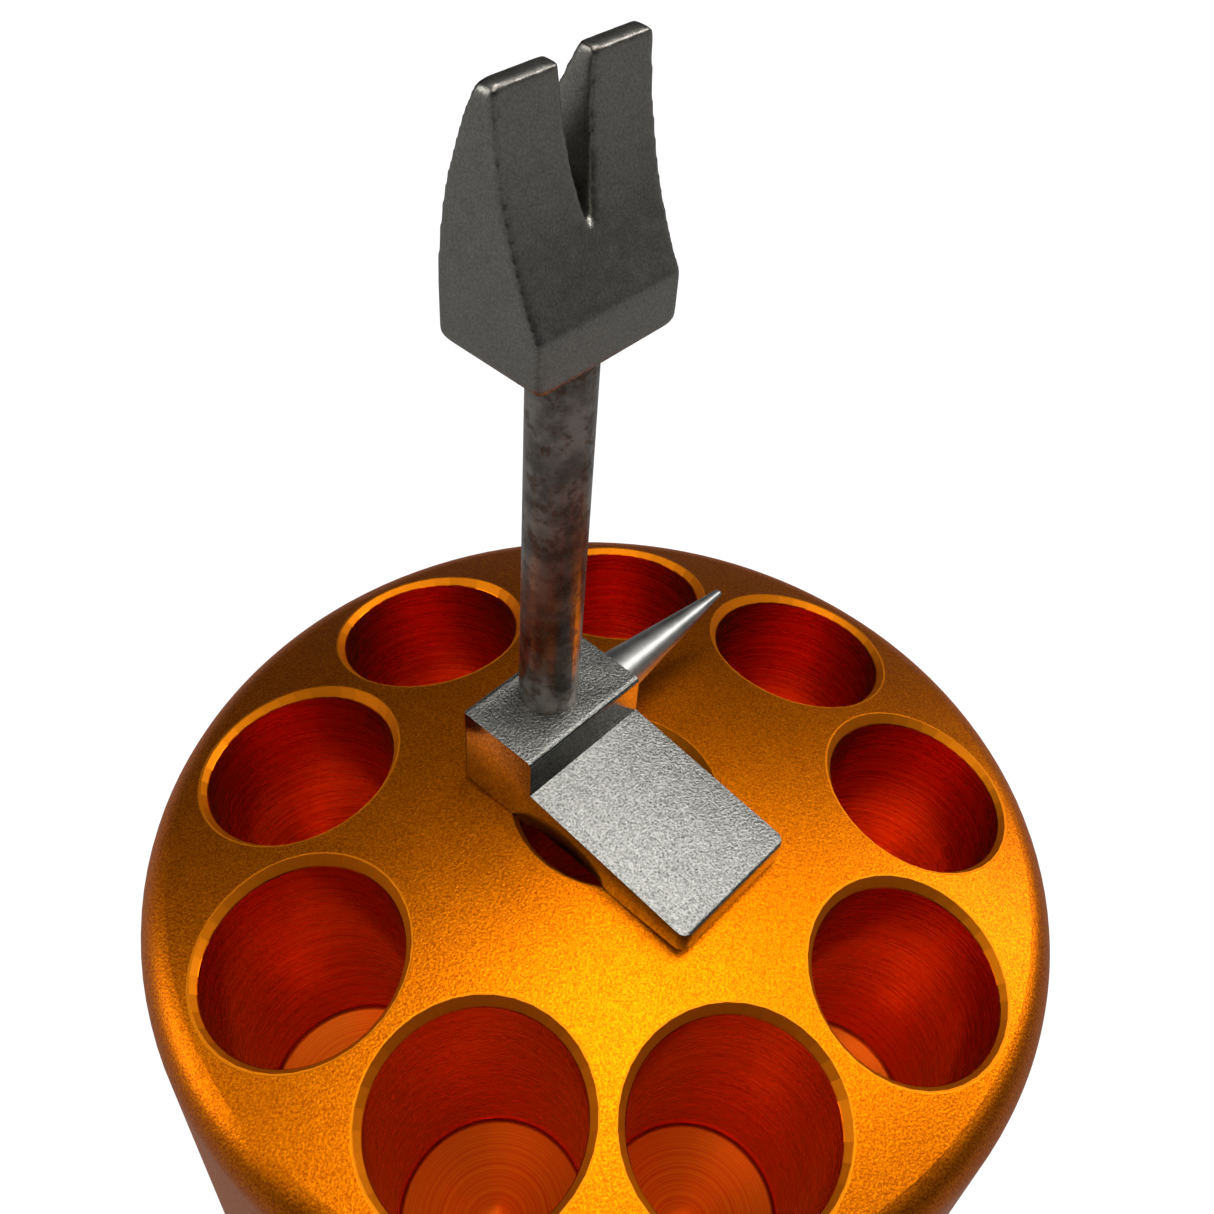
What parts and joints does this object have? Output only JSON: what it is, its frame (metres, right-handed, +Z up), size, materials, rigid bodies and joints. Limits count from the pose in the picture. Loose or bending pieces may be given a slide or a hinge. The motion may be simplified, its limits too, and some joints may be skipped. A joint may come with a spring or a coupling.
{
  "type": "pocketed storage drum with miniature entry bar",
  "caption": "Domed anodised drum with a ring of leaning blind pockets round a centre pocket, and a miniature steel entry bar that stands on top and lifts off.",
  "frame": {"origin": "centre of the drum's flat underside", "axes": "+Z up the drum's axis, first ring pocket 2.5 degrees past +Y"},
  "size_m": [0.0454, 0.0454, 0.0647],
  "materials": {
    "drum": "bead blasted and anodised orange",
    "adze_head": "coarse blasted steel",
    "pick": "satin turned steel",
    "shaft": "satin steel",
    "fork_head": "fine blasted dark steel"
  },
  "bodies": {
    "drum": {"drum": "drum"},
    "bar": {"adze_head": "adze_head", "pick": "pick", "shaft": "shaft", "fork_head": "fork_head"}
  },
  "joints": [
    {"name": "bar_lift", "type": "slide", "parent": "drum", "child": "bar", "axis": [0, 0, 1], "range_m": [0, 0.045]}
  ]
}
